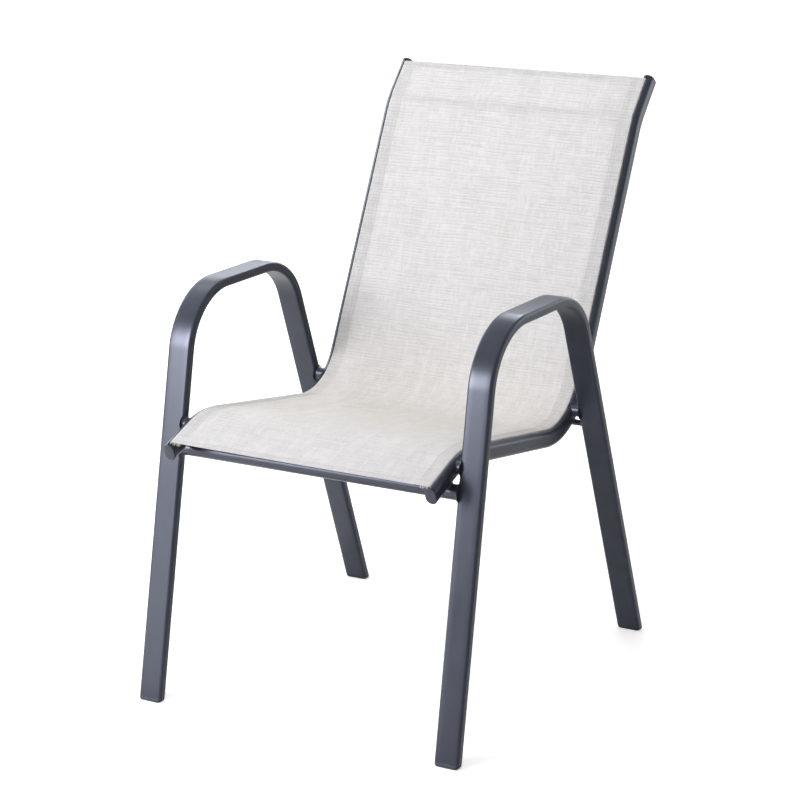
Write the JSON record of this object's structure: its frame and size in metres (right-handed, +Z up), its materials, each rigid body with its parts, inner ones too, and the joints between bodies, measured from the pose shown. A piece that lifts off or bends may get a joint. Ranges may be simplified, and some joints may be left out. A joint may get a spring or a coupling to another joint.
{
  "type": "sling patio chair",
  "caption": "Stackable outdoor armchair: bent flat-tube leg and arm loops, oval side rails and one stretched fabric sling for seat and back.",
  "frame": {"origin": "on the floor under the middle of the chair's bounding box", "axes": "+Z up; the sitter faces -Y, so a viewer in front looks along +Y and has +X on the right; left and right in the node names are this viewer's"},
  "size_m": [0.56, 0.7698, 0.8908],
  "materials": {
    "frame": "satin powder coat, dark blue-grey",
    "cap": "matte moulded plastic",
    "sling": "coated open weave, off-white linen pattern",
    "spline": "plain extruded rod"
  },
  "bodies": {
    "root": {"left_arm_loop": "frame", "right_arm_loop": "frame", "left_sling_rail": "frame", "right_sling_rail": "frame", "front_crossbar": "frame", "rear_cross_rod": "frame", "back_spreader_rod": "frame", "front_left_spacer": "frame", "front_right_spacer": "frame", "rear_left_spacer": "frame", "rear_right_spacer": "frame", "front_left_foot": "cap", "front_right_foot": "cap", "rear_left_foot": "cap", "rear_right_foot": "cap", "left_nose_cap": "cap", "right_nose_cap": "cap", "left_top_cap": "cap", "right_top_cap": "cap", "sling": "sling", "left_sling_spline": "spline", "right_sling_spline": "spline"}
  },
  "joints": []
}
